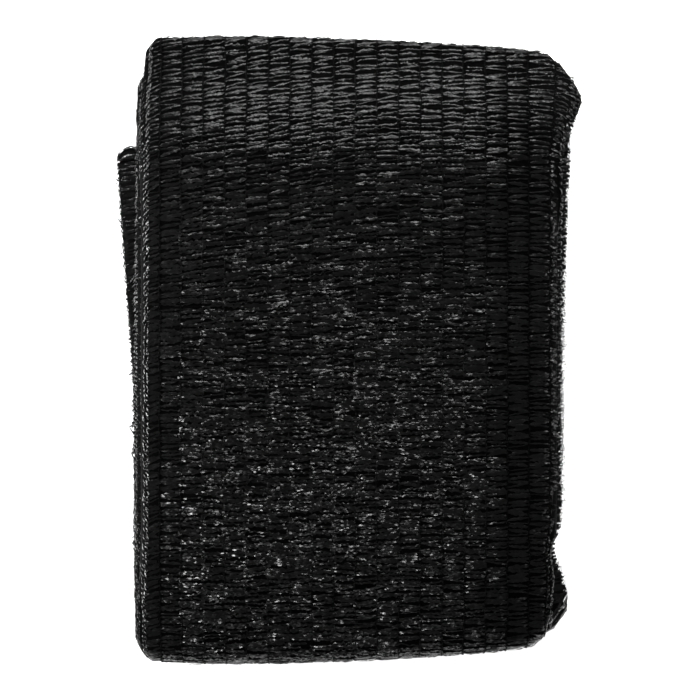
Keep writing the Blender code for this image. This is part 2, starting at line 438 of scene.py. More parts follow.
def axis_of(tree, place, number):
    return Shade.node(tree, "ShaderNodeSeparateXYZ", sockets={0: place}, output=number)


def between(value, low, high, at_low, at_high):
    """A value that runs from at_low to at_high while another runs from low to high."""
    ends = {0: value, 1: low, 2: high, 3: at_low, 4: at_high}
    return Shade.node(value.tree, "ShaderNodeMapRange", sockets=ends)


def vector(tree, operation, *values):
    return Shade.node(
        tree, "ShaderNodeVectorMath", {"operation": operation}, dict(enumerate(values))
    )


def noise(tree, place, scale, detail=2.0, stretch=(1.0, 1.0, 1.0)):
    """Noise of that many features a metre, drawn out by the inverse of stretch."""
    stretched = vector(tree, "MULTIPLY", place, stretch)
    sockets = {"Vector": stretched, "Scale": scale, "Detail": detail}
    return Shade.node(tree, "ShaderNodeTexNoise", sockets=sockets)


def bumps(tree, height, strength, distance):
    sockets = {"Strength": strength, "Distance": distance, "Height": height}
    return Shade.node(tree, "ShaderNodeBump", sockets=sockets)


def mix_colour(tree, factor, first, second):
    sockets = {0: factor, 6: first, 7: second}
    return Shade.node(tree, "ShaderNodeMix", {"data_type": "RGBA"}, sockets, output=2)


def link(tree, shade, socket):
    tree.links.new(shade.output, socket)


# The ground's colour is painted shade: darkest in the gaps between the tapes, lighter at the
# sides where the plies' folds show.
GROUND_SHADOW = (0.0004, 0.0004, 0.0004, 1.0)
GROUND_LESS_SHADED = (0.0025, 0.0025, 0.0025, 1.0)
PALE_START, PALE_END = 0.112, 0.122


def ground_material():
    """The plies between the tapes: film in shadow, its painted shade less dark where its folds
    show.
    """
    material, tree, shader = new_material("net_ground", {"Specular IOR Level": 0.01})
    place = place_of(tree)
    ribs = noise(tree, place, 90.0, 3.0, (1.0, 5.0, 5.0))
    shade = noise(tree, place, 400.0)
    x = axis_of(tree, place, 0)
    side = Shade.node(tree, "ShaderNodeMath", {"operation": "ABSOLUTE"}, {0: x})
    folds = between(side, PALE_START, PALE_END, 0.0, 1.0)
    colour = mix_colour(tree, shade * folds, GROUND_SHADOW, GROUND_LESS_SHADED)
    link(tree, colour, shader.inputs["Base Color"])
    link(tree, 0.45 + shade * 0.2, shader.inputs["Roughness"])
    link(tree, bumps(tree, ribs, 0.6, 0.0012), shader.inputs["Normal"])
    return material


margin = np.linspace(HALF_WIDTH, MARGIN_START, MARGIN_COLUMNS, endpoint=False)
inner = np.linspace(-MARGIN_START, MARGIN_START, INNER_COLUMNS)
columns = np.concatenate([-margin, inner, margin[::-1]])
sides = strip_rows(columns)
near_rim = smooth((np.abs(columns) - DRAW_START) / DRAW_SPAN)
drawn_in = near_rim * np.where(columns < 0.0, LEFT_DRAW, -RIGHT_DRAW)
for side in sides:
    toward_back = smooth((side[..., 1] - LESS_START) / LESS_SPAN)
    side[..., 0] += drawn_in * (1.0 - BACK_LESS * toward_back)
fold_chance = np.random.default_rng(11)
left_edge = strip_edge(sides, 0, 2, fold_chance)
right_edge = strip_edge(sides, -1, -3, fold_chance)
rims = folded_edge(right_edge), folded_edge(left_edge)[:, ::-1]
ring = np.concatenate([sides[0], rims[0], sides[1][:, ::-1], rims[1]], axis=1)


def tube_faces(rows, across):
    """Quads round a tube of rows, and one face over each of its ends."""
    row, place = np.indices((rows - 1, across))
    beside = (place + 1) % across
    near, far = row * across, (row + 1) * across
    quads = np.stack([near + place, near + beside, far + beside, far + place], axis=-1)
    faces = quads.reshape(-1, 4).tolist()
    faces.append(list(range(across))[::-1])
    faces.append(list(range((rows - 1) * across, rows * across)))
    return faces


net = make_piece("folded_net", ring, tube_faces(*ring.shape[:2]), ground_material())
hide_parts("netting")


# --------------------------------
# The tapes that show on the top of the pack. Each is a strip of thin black film, laid from
# one chain of stitches to the next and back, and crumpled as it was knitted. They run on
# down the turned-down front end and round the topmost back fold.

WALE_SPACE = 12.7
FIRST_WALE = -111.3
EDGE_WALE = 126.6
COURSE_SPACE, CLOSE_SPACE = 2.65, 2.35
FIRST_COURSE, LAST_COURSE, CLOSE_END = -215.0, 205.0, 50.0
TAPE_POINTS = 13
TAPE_HALF_WIDTH = 1.0
TAPE_PINCH = 0.3
TAPE_ARCH, LEAST_ARCH = 0.6, 0.15
TAPE_ROUND = 0.28
TAPE_GAP = 0.35
ZIGZAG = 0.35

# How unevenly the tapes lie: along the net, in their bow, and from point to point.
TAPE_STRAY, TAPE_BOW, TAPE_WAVER = 0.35, 0.3, 0.2

# A tape opens out quickly from its pinched ends. Where the net is crumpled, it closes over
# its chains instead: its ends run on past them, wider and less even.
OPEN_LIMITS, OPEN_POWER = (0.03, 0.97), 0.55
CLOSED_FROM, CLOSING = 0.55, 1.4
CLOSED_OVERLAP, CLOSED_PLAY, CLOSED_PINCH = 1.5, 0.6, 0.5

# Tapes near an end of a face move this far inside it, and those well past it are left out.
END_CLEAR, END_REACH = 1.0, 5.0
FACE_STEP = 0.75


def blend(values, i, j, u, v):
    """The value at shares u and v of one cell of a grid, from its four corners."""
    near = mix(values[i, j], values[i + 1, j], u)
    far = mix(values[i, j + 1], values[i + 1, j + 1], u)
    return mix(near, far, v)


class Face:
    """A face of the net: points on an even grid across it and along it, and its normals."""

    def __init__(self, across, along, points, ends=None):
        self.start = np.array([across[0], along[0]])
        self.step = np.array([across[1] - across[0], along[1] - along[0]])
        self.points = points
        self.across = across
        self.ends = ends
        self.along = unit(np.gradient(points, axis=1))
        self.normals = unit(np.cross(np.gradient(points, axis=0), self.along))

    def at(self, x, s):
        """The point, normal and lengthwise direction at each place, or NaN well off the face."""
        if self.ends is not None:
            low, high = (np.interp(x, self.across, end) for end in self.ends)
            inside = np.clip(s, low + END_CLEAR, high - END_CLEAR)
            s = np.where(np.abs(s - inside) > END_REACH, np.nan, inside)
        place = (np.stack([x, s], axis=-1) - self.start) / self.step
        last = np.array(self.points.shape[:2]) - 2
        off = np.isnan(place).any(axis=-1, keepdims=True)
        place = np.nan_to_num(place)
        whole = np.clip(np.floor(place).astype(int), 0, last)
        share = np.clip(place - whole, 0.0, 1.0)
        i, j = whole[..., 0], whole[..., 1]
        u, v = share[..., :1], share[..., 1:]
        grids = (self.points, self.normals, self.along)
        point, normal, along = (blend(values, i, j, u, v) for values in grids)
        return np.where(off, np.nan, point), unit(normal), unit(along)


def even_face(across, profiles, zero):
    """A face from one line of points for each place across, spaced evenly along each.
    zero finds how far along a line it is counted from."""
    lengths = []
    for line in profiles:
        steps = np.linalg.norm(np.diff(line, axis=0), axis=1)
        length = np.concatenate([[0.0], np.cumsum(steps)])
        lengths.append(length - zero(length, line))
    low = math.floor(min(length[0] for length in lengths))
    high = math.ceil(max(length[-1] for length in lengths))
    along = np.arange(low, high + FACE_STEP, FACE_STEP)
    points = np.empty((len(across), len(along), 3))
    for column, (length, line) in enumerate(zip(lengths, profiles)):
        for axis in range(3):
            points[column, :, axis] = np.interp(along, length, line[:, axis])
    ends = [np.array([length[place] for length in lengths]) for place in (0, -1)]
    return Face(across, along, points, ends)


def middle_of(rows):
    """Finds where a line passes y = 0, among those rows of it that lie flat."""
    return lambda length, line: np.interp(0.0, line[rows, 1], length[rows])


TOP_COLUMNS, DROP_LINES, FLAT_LINES, FOLD_LINES = 170, 24, 240, 16


def top_face():
    """The top of the pack, with its front drop and its back fold."""
    across = np.linspace(-HALF_WIDTH, HALF_WIDTH, TOP_COLUMNS)
    grid = across[None, :]
    dropping = np.linspace(1.0, 0.0, DROP_LINES, endpoint=False)[:, None]
    drop = drop_points(grid, dropping)[1]
    flat = layer_points(TOP, grid, np.linspace(0.0, 1.0, FLAT_LINES)[:, None])[1]
    angles = np.linspace(0.5, -0.5, FOLD_LINES)[1:, None] * math.pi
    fold = turn_points(TOP, grid, angles)[1]
    lines = np.concatenate([drop, flat, fold]).transpose(1, 0, 2)
    return even_face(across, lines, middle_of(slice(len(drop), len(drop) + len(flat))))


PATCHED_X, PATCHED_Y = 200.0, 300.0


def patchy(x, y, step, chance):
    """Uneven patches of about unit size, out to PATCHED_X and PATCHED_Y."""
    i = np.floor((x + PATCHED_X) / step).astype(int)
    j = np.floor((y + PATCHED_Y) / step).astype(int)
    u = smooth((x + PATCHED_X) / step - i)
    v = smooth((y + PATCHED_Y) / step - j)
    size = (int(2 * PATCHED_X / step) + 3, int(2 * PATCHED_Y / step) + 3)
    return blend(chance.normal(size=size), i, j, u, v)


# How the net lies at a place: how crumpled its tapes are, how steeply they lean, and how
# rounded they are. All are worked out from x and the length along the face.
Lie = namedtuple("Lie", "crumple slant round")
CRUMPLE, MORE_IN_MIDDLE, CRUMPLE_LIMITS = 0.85, 0.55, (0.12, 2.0)
CALM_SIDES, CALM_BACK = 0.55, 0.35
PATCH_STEP, PATCH_SHARE = 14.0, 0.35
FLAT_ROUND, RIDGE_ROUND = 0.35, 1.6
RIDGES_START, RIDGES_SPAN = 103.0, 35.0


def top_crumple(x, s):
    """Most in the lower middle, least along the sides and over the back fold."""
    middle = np.exp(-(((x + 28.0) / 85.0) ** 2) - ((s + 70.0) / 105.0) ** 2)
    calm = smooth((x - 75.0) / 25.0) * CALM_SIDES + smooth((-x - 95.0) / 15.0) * CALM_SIDES
    calm = calm + CALM_BACK * smooth((s - 105.0) / 50.0)
    patches = 1.0 + PATCH_SHARE * patchy(x, s, PATCH_STEP, np.random.default_rng(5))
    return np.clip((CRUMPLE + MORE_IN_MIDDLE * middle - calm) * patches, *CRUMPLE_LIMITS)


def top_slant(x, s):
    """The courses lean down toward the left, most of all near the back."""
    leaning = smooth((60.0 - x) / 120.0) * smooth((s + 40.0) / 140.0)
    return 0.02 + 0.13 * leaning - 0.03 * smooth((x - 60.0) / 60.0)


def top_round(x, s):
    """Drawn into round ridges near the back, and pressed nearly flat everywhere else."""
    sides = smooth((x - 80.0) / 20.0) + smooth((-x - 88.0) / 12.0)
    ridged = smooth((s - RIDGES_START) / RIDGES_SPAN)
    return mix(FLAT_ROUND - 0.17 * sides, RIDGE_ROUND + 0.2 * sides, ridged)


# The waves of a chain's line: how far it strays, how long each is, and its shift by wale.
WAVES = ((0.28, 6.1, 9.1), (0.2, 2.7, 5.3), (0.16, 1.1, 3.7))


def wobble(wale, s):
    """How far a chain strays sideways from its straight line."""
    return sum(size * np.sin(s / length + shift * wale) for size, length, shift in WAVES)


def strips(centre, wide, up, half_width, bulge):
    """Tapes rounded across: their points, and two rows of quads down each."""
    drop = up * (bulge * half_width)[..., None]
    side = wide * half_width[..., None]
    lanes = np.stack([centre - side - drop, centre, centre + side - drop], axis=2)
    whole = ~np.isnan(lanes).any(axis=(1, 2, 3))
    lanes = lanes[whole]
    tapes, points = lanes.shape[:2]
    tape, point, lane = np.indices((tapes, points - 1, 2))
    corner = (tape * points + point) * 3 + lane
    quads = np.stack([corner, corner + 1, corner + 4, corner + 3], axis=-1)
    return lanes.reshape(-1, 3), quads.reshape(-1, 4)


def joined(parts):
    """Several sets of points and faces as one."""
    points, faces, used = [], [], 0
    for some_points, some_faces in parts:
        points.append(some_points)
        faces.append(some_faces + used)
        used += len(some_points)
    return np.concatenate(points), np.concatenate(faces).tolist()


def lay_tapes(
    face, wales, courses, chance, lie, width=1.0, points=TAPE_POINTS, arch=TAPE_ARCH, ragged=0.2
):
    """Lays tapes on a face, one in each space between wales on each course. width is a
    share of the usual one, arch how high they stand, and ragged how uneven their ends are."""
    gap, course = np.indices((len(wales) - 1, len(courses)))
    gap, course = gap.ravel(), course.ravel()
    count = len(gap)

    def uneven(size):
        """Chance bends for each tape's points, over and above one for the whole tape."""
        return size * chance.normal(size=(count, points))

    def each(size):
        return size * chance.normal(size=(count, 1))

    share = np.linspace(0.0, 1.0, points)
    first, second = wales[gap][:, None], wales[gap + 1][:, None]
    shift = chance.uniform(-COURSE_SPACE / 2, COURSE_SPACE / 2, size=len(wales))[gap]
    s = (courses[course] + shift)[:, None] + each(TAPE_STRAY)
    amount = lie.crumple((first + second) / 2, s)
    closed = np.clip(CLOSING * (amount - CLOSED_FROM), 0.0, 1.0)
    ends = TAPE_GAP - CLOSED_OVERLAP * closed
    left = first + wobble(first, s) + ends + each(ragged) + each(CLOSED_PLAY) * closed
    right = second + wobble(second, s) - ends + each(ragged) + each(CLOSED_PLAY) * closed
    x = mix(left, right, share)
    zigzag = np.where((course + gap) % 2 == 0, ZIGZAG, -ZIGZAG)[:, None]
    swing = zigzag + each(TAPE_STRAY)
    open_share = np.sin(math.pi * np.clip(share, *OPEN_LIMITS)) ** OPEN_POWER
    s = s + swing * (2.0 * share - 1.0) + lie.slant(x, s) * (x - (first + second) / 2)
    s = s + each(TAPE_BOW) * open_share + uneven(TAPE_WAVER) * (0.25 + amount)
    centre, up, along = face.at(x, s)
    arched = np.maximum(LEAST_ARCH, arch * (1.0 + each(0.5)))
    lift = open_share * arched + uneven(0.06) * amount
    centre = centre + up * lift[..., None]
    half = mix(TAPE_PINCH + CLOSED_PINCH * closed, TAPE_HALF_WIDTH * width, open_share)
    half = half * np.clip(1.0 + each(0.3), 0.35, 1.5) * np.clip(1.0 + uneven(0.18), 0.5, 1.5)
    roll = each(0.05) + (each(0.04) + uneven(0.08)) * amount
    wide = along * np.cos(roll)[..., None] + up * np.sin(roll)[..., None]
    across = unit(np.cross(along, up))
    tilted_up = unit(np.cross(wide, across))
    tilted_up = tilted_up * np.sign((tilted_up * up).sum(axis=-1, keepdims=True))
    rounded = TAPE_ROUND * lie.round(x, s) * (1.0 + uneven(0.35))
    return strips(centre, wide, tilted_up, half, rounded)


def crushed(tree, place):
    """How crushed the film is: most toward the front, in clusters, and least at the sides."""
    clusters = noise(tree, place, 140.0)
    x, y = axis_of(tree, place, 0), axis_of(tree, place, 1)
    frontward = between(y, 0.1, -0.14, 0.14, 1.45)
    clustered = between(clusters, 0.42, 0.62, 0.45, 1.05)
    calm = between(x, 0.07, 0.095, 1.0, 0.35) * between(x, -0.112, -0.09, 0.3, 1.0)
    curled = between(x, 0.114, 0.119, 0.0, 0.8) + between(x, -0.12, -0.116, 0.5, 0.0)
    return frontward * clustered * calm + curled


FILM_DARK = (0.0003, 0.00035, 0.0003, 1.0)
FILM_PALE = (0.0012, 0.0013, 0.0012, 1.0)
FACETS = 560.0
BACK_BAND = (0.09, 0.13)


def film_material(name, crush=None, dullness=0.28, shine=0.25):
    """Black film: smooth and glossy, creased lengthwise, and crushed into small facets.
    Past the band near the back it is glossier, and its creases are deeper."""
    material, tree, shader = new_material(name, {"Specular IOR Level": shine})
    place = place_of(tree)
    y = axis_of(tree, place, 1)
    dull = between(y, *BACK_BAND, dullness, 0.5 * dullness)
    depth = between(y, *BACK_BAND, 0.2, 0.4)
    patches = noise(tree, place, 260.0)
    creases = noise(tree, place, 220.0, 3.0, (1.0, 4.5, 4.5))
    link(tree, mix_colour(tree, patches, FILM_DARK, FILM_PALE), shader.inputs["Base Color"])
    link(tree, 0.08 + patches * dull, shader.inputs["Roughness"])
    stretched = vector(tree, "MULTIPLY", place, (1.0, 2.5, 2.5))
    cells = {"Vector": stretched, "Scale": FACETS}
    facets = Shade.node(tree, "ShaderNodeTexVoronoi", sockets=cells, output="Color")
    leaning = vector(tree, "SUBTRACT", facets, (0.5, 0.5, 0.5))
    amount = crushed(tree, place) if crush is None else (crush, crush, crush)
    creased = bumps(tree, creases * depth, 1.0, 0.001)
    tilted = vector(tree, "MULTIPLY_ADD", leaning, amount, creased)
    link(tree, vector(tree, "NORMALIZE", tilted), shader.inputs["Normal"])
    return material


film = film_material("net_film")
edge_film = film_material("net_edge_film", crush=0.55, dullness=0.12, shine=0.45)
wales = np.arange(FIRST_WALE, MARGIN_START + WALE_SPACE / 2, WALE_SPACE)
top = top_face()
tape_chance = np.random.default_rng(3)
close_courses = np.arange(FIRST_COURSE, CLOSE_END, CLOSE_SPACE)
top_courses = np.concatenate([close_courses, np.arange(CLOSE_END, LAST_COURSE, COURSE_SPACE)])
top_lie = Lie(top_crumple, top_slant, top_round)
top_parts = [lay_tapes(top, wales, top_courses, tape_chance, top_lie)]


# Past its last chains the net reaches this far, and farther in the corner at the right of
# the back, where the top layer runs out past the rest.
LEFT_MARGIN, RIGHT_MARGIN = -121.2, 120.9
CORNER_WALES = (122.6, 127.0)
CORNER_COURSE = 112.0
MARGIN_SLANT = 0.35


def margin_slant(x, s):
    """Past its last chains the net is drawn down toward the back at both sides."""
    return -np.sign(x) * MARGIN_SLANT * (0.6 + smooth((np.abs(x) - 119.0) / 4.0))


margin_lie = Lie(top_crumple, margin_slant, top_round)
in_corner = top_courses > CORNER_COURSE
edge_way = {"points": 9, "arch": 0.2, "ragged": 0.5}
for margin_wales, courses in (
    ((LEFT_MARGIN, wales[0]), top_courses),
    ((wales[-1], RIGHT_MARGIN), top_courses[~in_corner]),
    ((wales[-1], *CORNER_WALES), top_courses[in_corner]),
):
    chains = np.array(margin_wales)
    top_parts.append(lay_tapes(top, chains, courses, tape_chance, margin_lie, **edge_way))

# Where the strip's sides curl over, the plies slip, so that their folds fan out and each
# shows as a column of short steep runs of film. at: its x. space: from run to run. lean:
# how far a run leans sideways, one way near the front and the other way near the back.
Fan = namedtuple("Fan", "at space length half_width lean lift")
FANS = (
    Fan(-120.9, 2.7, 3.2, 0.6, 2.0, 0.5),
    Fan(-122.3, 2.9, 3.2, 0.4, 1.8, 0.7),
    Fan(123.6, 4.4, 2.8, 0.6, 1.4, 1.2),
)
FAN_FRONT, FAN_BACK = -184.0, 182.0
LEAN_TURNS_AT, LEAN_SPAN = 10.0, 45.0
FAN_POINTS = 6
FAN_ROUND = 0.4


def lay_fan(face, fan, chance):
    """Lays one column of short runs of film along a fold."""
    centre_s = np.arange(FAN_FRONT, FAN_BACK, fan.space)[:, None]
    count = len(centre_s)

    def each(size):
        return size * chance.normal(size=(count, 1))

    share = np.linspace(-0.5, 0.5, FAN_POINTS)
    leaning = np.tanh((centre_s - LEAN_TURNS_AT) / LEAN_SPAN)
    lean = -np.sign(fan.at) * fan.lean * leaning + each(0.35)
    s = centre_s + each(0.35) + fan.length * share * (1.0 + each(0.2))
    x = fan.at + each(0.25) + lean * share
    centre, up, _ = face.at(x, s)
    arch = 1.0 - (2.0 * share) ** 2
    centre = centre + up * (fan.lift * arch)[..., None]
    run = unit(np.gradient(centre, axis=1))
    wide = unit(np.cross(up, run) + up * each(0.25)[..., None])
    half = fan.half_width * (0.35 + 0.65 * arch) * np.clip(1.0 + each(0.3), 0.5, 1.6)
    rounded = np.full(half.shape, FAN_ROUND)
    return strips(centre, wide, unit(np.cross(run, wide)), half, rounded)


top_tapes = make_piece("top_tapes", *joined(top_parts), film)
fan_parts = [lay_fan(top, fan, tape_chance) for fan in FANS]
fan_tapes = make_piece("fan_tapes", *joined(fan_parts), edge_film)


# --------------------------------
# The chains of stitches that hold the tapes. Each is one filament knitted into a column of
# small loops, which pinches every tape where it crosses it, so that it lies in a groove.

LOOP_SPREAD = 0.42
LOOP_REACH = 1.35
LOOP_LIFT, LOOP_RISE = 0.28, 0.3
SUNK_FROM = 1.7
THREAD_RADIUS = 0.17
LOOP_POINTS = 4
THREAD_SIDES = 3


def threads(centre, across, up, radius):
    """Thin threads of three sides: their points and quads."""
    whole = ~np.isnan(centre).any(axis=(1, 2))
    centre, across, up = centre[whole], across[whole], up[whole]
    rings = []
    for side in range(THREAD_SIDES):
        angle = 2.0 * math.pi * side / THREAD_SIDES + math.pi / 2
        rings.append(centre + radius * (across * math.cos(angle) + up * math.sin(angle)))
    rings = np.stack(rings, axis=2)
    count, points = rings.shape[:2]
    thread, point, side = np.indices((count, points - 1, THREAD_SIDES))
    start = (thread * points + point) * THREAD_SIDES
    beside = (side + 1) % THREAD_SIDES
    near, far = start + side, start + beside
    quads = np.stack([near, far, far + THREAD_SIDES, near + THREAD_SIDES], axis=-1)
    return rings.reshape(-1, 3), quads.reshape(-1, 4)


def lay_chains(face, wales, courses, chance, lie):
    """Lays a chain of loops along each wale, each as two legs, sunk among crumpled tapes."""
    wale, course = np.meshgrid(wales, courses, indexing="ij")
    wale, course = wale.ravel()[:, None], course.ravel()[:, None]
    share = np.linspace(0.0, 1.0, LOOP_POINTS)
    shift = chance.normal(size=wale.shape) * 0.08
    legs = []
    for side in (-1.0, 1.0):
        bow = side * LOOP_SPREAD * np.sin(math.pi * share) ** 0.8
        x = wale + wobble(wale, course) + shift + bow
        s = course + (share - 0.5) * 2.0 * LOOP_REACH + chance.normal(size=wale.shape) * 0.1
        centre, up, along = face.at(x, s)
        kept = np.clip(SUNK_FROM - lie.crumple(wale, course), 0.1, 1.0)
        lift = (LOOP_LIFT + LOOP_RISE * share) * kept
        across = unit(np.cross(along, up))
        legs.append(threads(centre + up * lift[..., None], across, up, THREAD_RADIUS))
    return legs


# The chains' filament is thin, round, black and rather dull.
THREAD_LOOK = {
    "Base Color": (0.0008, 0.0008, 0.0008, 1.0),
    "Roughness": 0.4,
    "Specular IOR Level": 0.06,
}
thread = new_material("net_thread", THREAD_LOOK)[0]
chain_chance = np.random.default_rng(8)
chain_parts = lay_chains(top, wales, top_courses + COURSE_SPACE / 2, chain_chance, top_lie)
top_chains = make_piece("top_chains", *joined(chain_parts), thread)


# --------------------------------
# The net round the folds at the two ends of the pack. The outermost ply of each turn shows
# its tapes lying along the fold, with the chains crossing over it.

TURN_COURSES = np.arange(-7.0, 7.1, 2.5)
TURN_TAIL = 3.5
FACE_COLUMNS = 120
LOOSE_ARCH = 1.7
EVEN_CRUMPLE, EVEN_ROUND = 0.9, 0.9


def turn_face(number):
    """The outer face of a turn, from the layer over it to the layer under it."""
    turn = TURNS[number]
    across = np.linspace(-HALF_WIDTH, HALF_WIDTH, FACE_COLUMNS)
    angles = np.linspace(-0.5, 0.5, 17)[:, None] * math.pi
    round_part = turn_points(number, across[None, :], angles)[1]
    tail = np.array([0.0, -END_SIGN[turn.end] * TURN_TAIL, 0.0])
    lines = np.concatenate([round_part[:1] + tail, round_part, round_part[-1:] + tail])
    if turn.end == "back":
        lines = lines[::-1]
    return even_face(
        across, lines.transpose(1, 0, 2), lambda length, line: length[len(length) // 2]
    )


def everywhere(value):
    """A measure of how the net lies that is the same all over a face."""
    return lambda x, s: value + 0.0 * x


FLAT_LIE = Lie(everywhere(EVEN_CRUMPLE), everywhere(0.0), everywhere(EVEN_ROUND))
end_chance = np.random.default_rng(21)
end_parts = []
for number in range(1, TOP):
    face = turn_face(number)
    start = end_chance.uniform(6.0, 12.0) - EDGE_WALE
    turn_wales = np.arange(start, EDGE_WALE - 4.0, WALE_SPACE)
    turn_wales = np.concatenate([[-EDGE_WALE], turn_wales, [EDGE_WALE]])
    arch = LOOSE_ARCH if number == SHORT_TURN else TAPE_ARCH
    way = {"points": 8, "arch": arch, "ragged": 0.6}
    end_parts.append(lay_tapes(face, turn_wales, TURN_COURSES, end_chance, FLAT_LIE, **way))
    loop_courses = TURN_COURSES + COURSE_SPACE / 2
    end_parts += lay_chains(face, turn_wales, loop_courses, end_chance, FLAT_LIE)
end_net = make_piece("end_fold_net", *joined(end_parts), edge_film)


# --------------------------------
# The tapes round the folded side edges of every layer. Each short run of film wraps one
# ply's fold. On the right the folds are slacker, so the film stands out in small loops.

# space: from run to run. loop: how far the film stands out past the fold, and by how much
# that varies. slant: how far a run leans along the edge, and whether it is steady, at 1, or
# turns the other way past the middle, at 0. inset: how far it reaches in over the ply.
Wrap = namedtuple("Wrap", "space loop loop_spread half_width slant steady inset")
LEFT_WRAP = Wrap(2.7, 0.2, 1.0, 0.5, 3.2, 0.0, 2.4)
RIGHT_WRAP = Wrap(2.4, 0.3, 0.3, 0.6, 0.9, 0.0, 2.0)
LOOSE_WRAP = Wrap(1.9, 4.2, 0.8, 0.17, 1.5, 1.0, 1.5)
LOOSE_LAYERS = {0: (3, 9), 1: (2, 8), 2: (5, 10), 3: (4, 7)}
WRAP_POINTS = 5
WRAP_RISE = 1.15
WRAP_ROUND = 0.2
LOOP_STEP = 5.0
SLANT_SPAN = 60.0
SQUEEZED = 0.9


def wrap_edge(edge, kind, chance, layers=None):
    """Film wrapped round each ply's fold, all along one edge or on some layers only."""
    parts = []
    for fold, bulge in enumerate(edge.bulges):
        at = np.arange(1.0, edge.place[-1] - 1.0, kind.space)
        at = at + chance.normal(size=len(at)) * 0.3
        if layers:
            middle = (edge.rims[0] + edge.rims[1]) / 2
            level = np.interp(at, edge.place, middle[:, 2])
            layer = np.floor(level / (SQUEEZED * PITCH))
            at = at[np.isin(layer, layers[fold])]

        def along_edge(values):
            return np.stack([np.interp(at, edge.place, line) for line in values.T], axis=-1)

        def each(size):
            return size * chance.normal(size=(len(at), 1))

        first, second = along_edge(edge.rims[0]), along_edge(edge.rims[1])
        out = along_edge(edge.outward)[:, None]
        run = unit(np.gradient((first + second) / 2, axis=0))[:, None]
        centre = mix(first, second, (fold + 0.5) / EDGE_FOLDS)[:, None]
        rise = ((first - second) / (2 * EDGE_FOLDS))[:, None]
        turn = np.linspace(0.0, math.pi, WRAP_POINTS)[None, :]
        fold_out = np.interp(at, edge.place, bulge)[:, None]
        uneven = wander(at, LOOP_STEP, chance)[:, None] + 0.5 * each(1.0)
        loop = kind.loop + kind.loop_spread * np.abs(uneven)
        out_by = mix(fold_out - kind.inset, fold_out + loop, np.sin(turn))
        turning = mix(np.tanh(centre[..., 1] / SLANT_SPAN), 1.0, kind.steady)
        slant = kind.slant * turning + each(0.3)
        upward = np.sign(rise[..., 2]) * np.cos(turn)
        points = centre + (np.cos(turn) * WRAP_RISE)[..., None] * rise
        points = points + out_by[..., None] * out
        points = points + (slant * upward * run[..., 1])[..., None] * run
        facing = unit(out * np.sin(turn)[..., None] + unit(rise) * np.cos(turn)[..., None])
        roll = 0.4 * chance.normal(size=points.shape[:2])[..., None]
        wide = run * np.cos(roll) + facing * np.sin(roll)
        widths = 1.0 + 0.25 * chance.normal(size=roll.shape[:2])
        half = kind.half_width * np.clip(widths, 0.4, 1.7)
        parts.append(strips(points, wide, facing, half, np.full(half.shape, WRAP_ROUND)))
    return parts


edge_chance = np.random.default_rng(31)
left_wraps = wrap_edge(left_edge, LEFT_WRAP, edge_chance)
left_tapes = make_piece("left_edge_tapes", *joined(left_wraps), edge_film)
right_wraps = wrap_edge(right_edge, RIGHT_WRAP, edge_chance)
right_wraps += wrap_edge(right_edge, LOOSE_WRAP, edge_chance, LOOSE_LAYERS)
right_tapes = make_piece("right_edge_tapes", *joined(right_wraps), edge_film)


# --------------------------------
# The margins of the layers that stick out from under the top one, among them the flap of
# the short turn at the left. They are the same net, and the flap's courses run aslant.

MARGIN_LAYERS = (7, 8, 9, 10)
MARGIN_WALES = {"left": np.array([-126.0, -113.3]), "right": np.array([113.3, 126.0])}
MARGIN_WAY = {"points": 9, "arch": 0.2}
FLAP_SLANT, FLAP_ROUND = 0.3, 0.3
FLAP_LIE = Lie(everywhere(EVEN_CRUMPLE), everywhere(FLAP_SLANT), everywhere(FLAP_ROUND))


def layer_face(layer):
    """The upper face of a layer."""
    across = np.linspace(-HALF_WIDTH, HALF_WIDTH, FACE_COLUMNS)
    along = np.linspace(0.0, 1.0, FACE_COLUMNS)[:, None]
    lines = layer_points(layer, across[None, :], along)[1]
    return even_face(across, lines.transpose(1, 0, 2), middle_of(slice(None)))


margin_chance = np.random.default_rng(41)
margin_parts = []
for layer in MARGIN_LAYERS:
    face = layer_face(layer)
    for side, margin_wales in MARGIN_WALES.items():
        lie = FLAP_LIE if layer == SHORT_TURN and side == "left" else FLAT_LIE
        tapes = lay_tapes(face, margin_wales, top_courses, margin_chance, lie, **MARGIN_WAY)
        margin_parts.append(tapes)
margin_film = film_material("net_margin_film", crush=0.25)
margin_net = make_piece("margin_net", *joined(margin_parts), margin_film)


# --------------------------------
# The strip's two cut ends, where the last courses of all eight plies lie side by side and
# each chain ends in a short tail.

PLIES = 8
CUT_WAY = {"width": 0.6, "points": 9}
TAIL_POINTS = 4
TAIL_LENGTH = 2.0
TAIL_RADIUS = 0.2


def cut_end(rim, other_rim, outward, chance):
    """The last tapes of each ply along a cut end, and the tails of its chains."""
    parts = []
    across = np.linspace(-HALF_WIDTH, HALF_WIDTH, len(rim))
    cut_wales = np.concatenate([[-EDGE_WALE], wales, [EDGE_WALE]])
    thick = unit(other_rim - rim)
    for ply in range(PLIES):
        line = mix(rim, other_rim, (ply + 0.5) / PLIES)
        steps = np.arange(-1.0, 1.1, 1.0)
        grid = line[:, None] + thick[:, None] * steps[None, :, None] * 0.5
        face = Face(across, steps, grid)
        face.normals = np.broadcast_to(outward, face.normals.shape)
        parts.append(lay_tapes(face, cut_wales, np.zeros(1), chance, FLAT_LIE, **CUT_WAY))
        tail = np.linspace(0.0, 1.0, TAIL_POINTS)
        tail_x = cut_wales[:, None] + 0.0 * tail
        start, _, along = face.at(tail_x, 0.0 * tail_x)
        length = TAIL_LENGTH * chance.uniform(0.4, 1.6, size=(len(cut_wales), 1))
        bend = chance.normal(size=(len(cut_wales), 1, 3)) * 0.5
        way = np.broadcast_to(np.array(outward), start.shape)
        centre = start + way * (length * tail)[..., None] + bend * (tail**2)[:, None]
        sideways = np.broadcast_to([1.0, 0.0, 0.0], start.shape)
        parts.append(threads(centre, sideways, along, TAIL_RADIUS))
    return parts


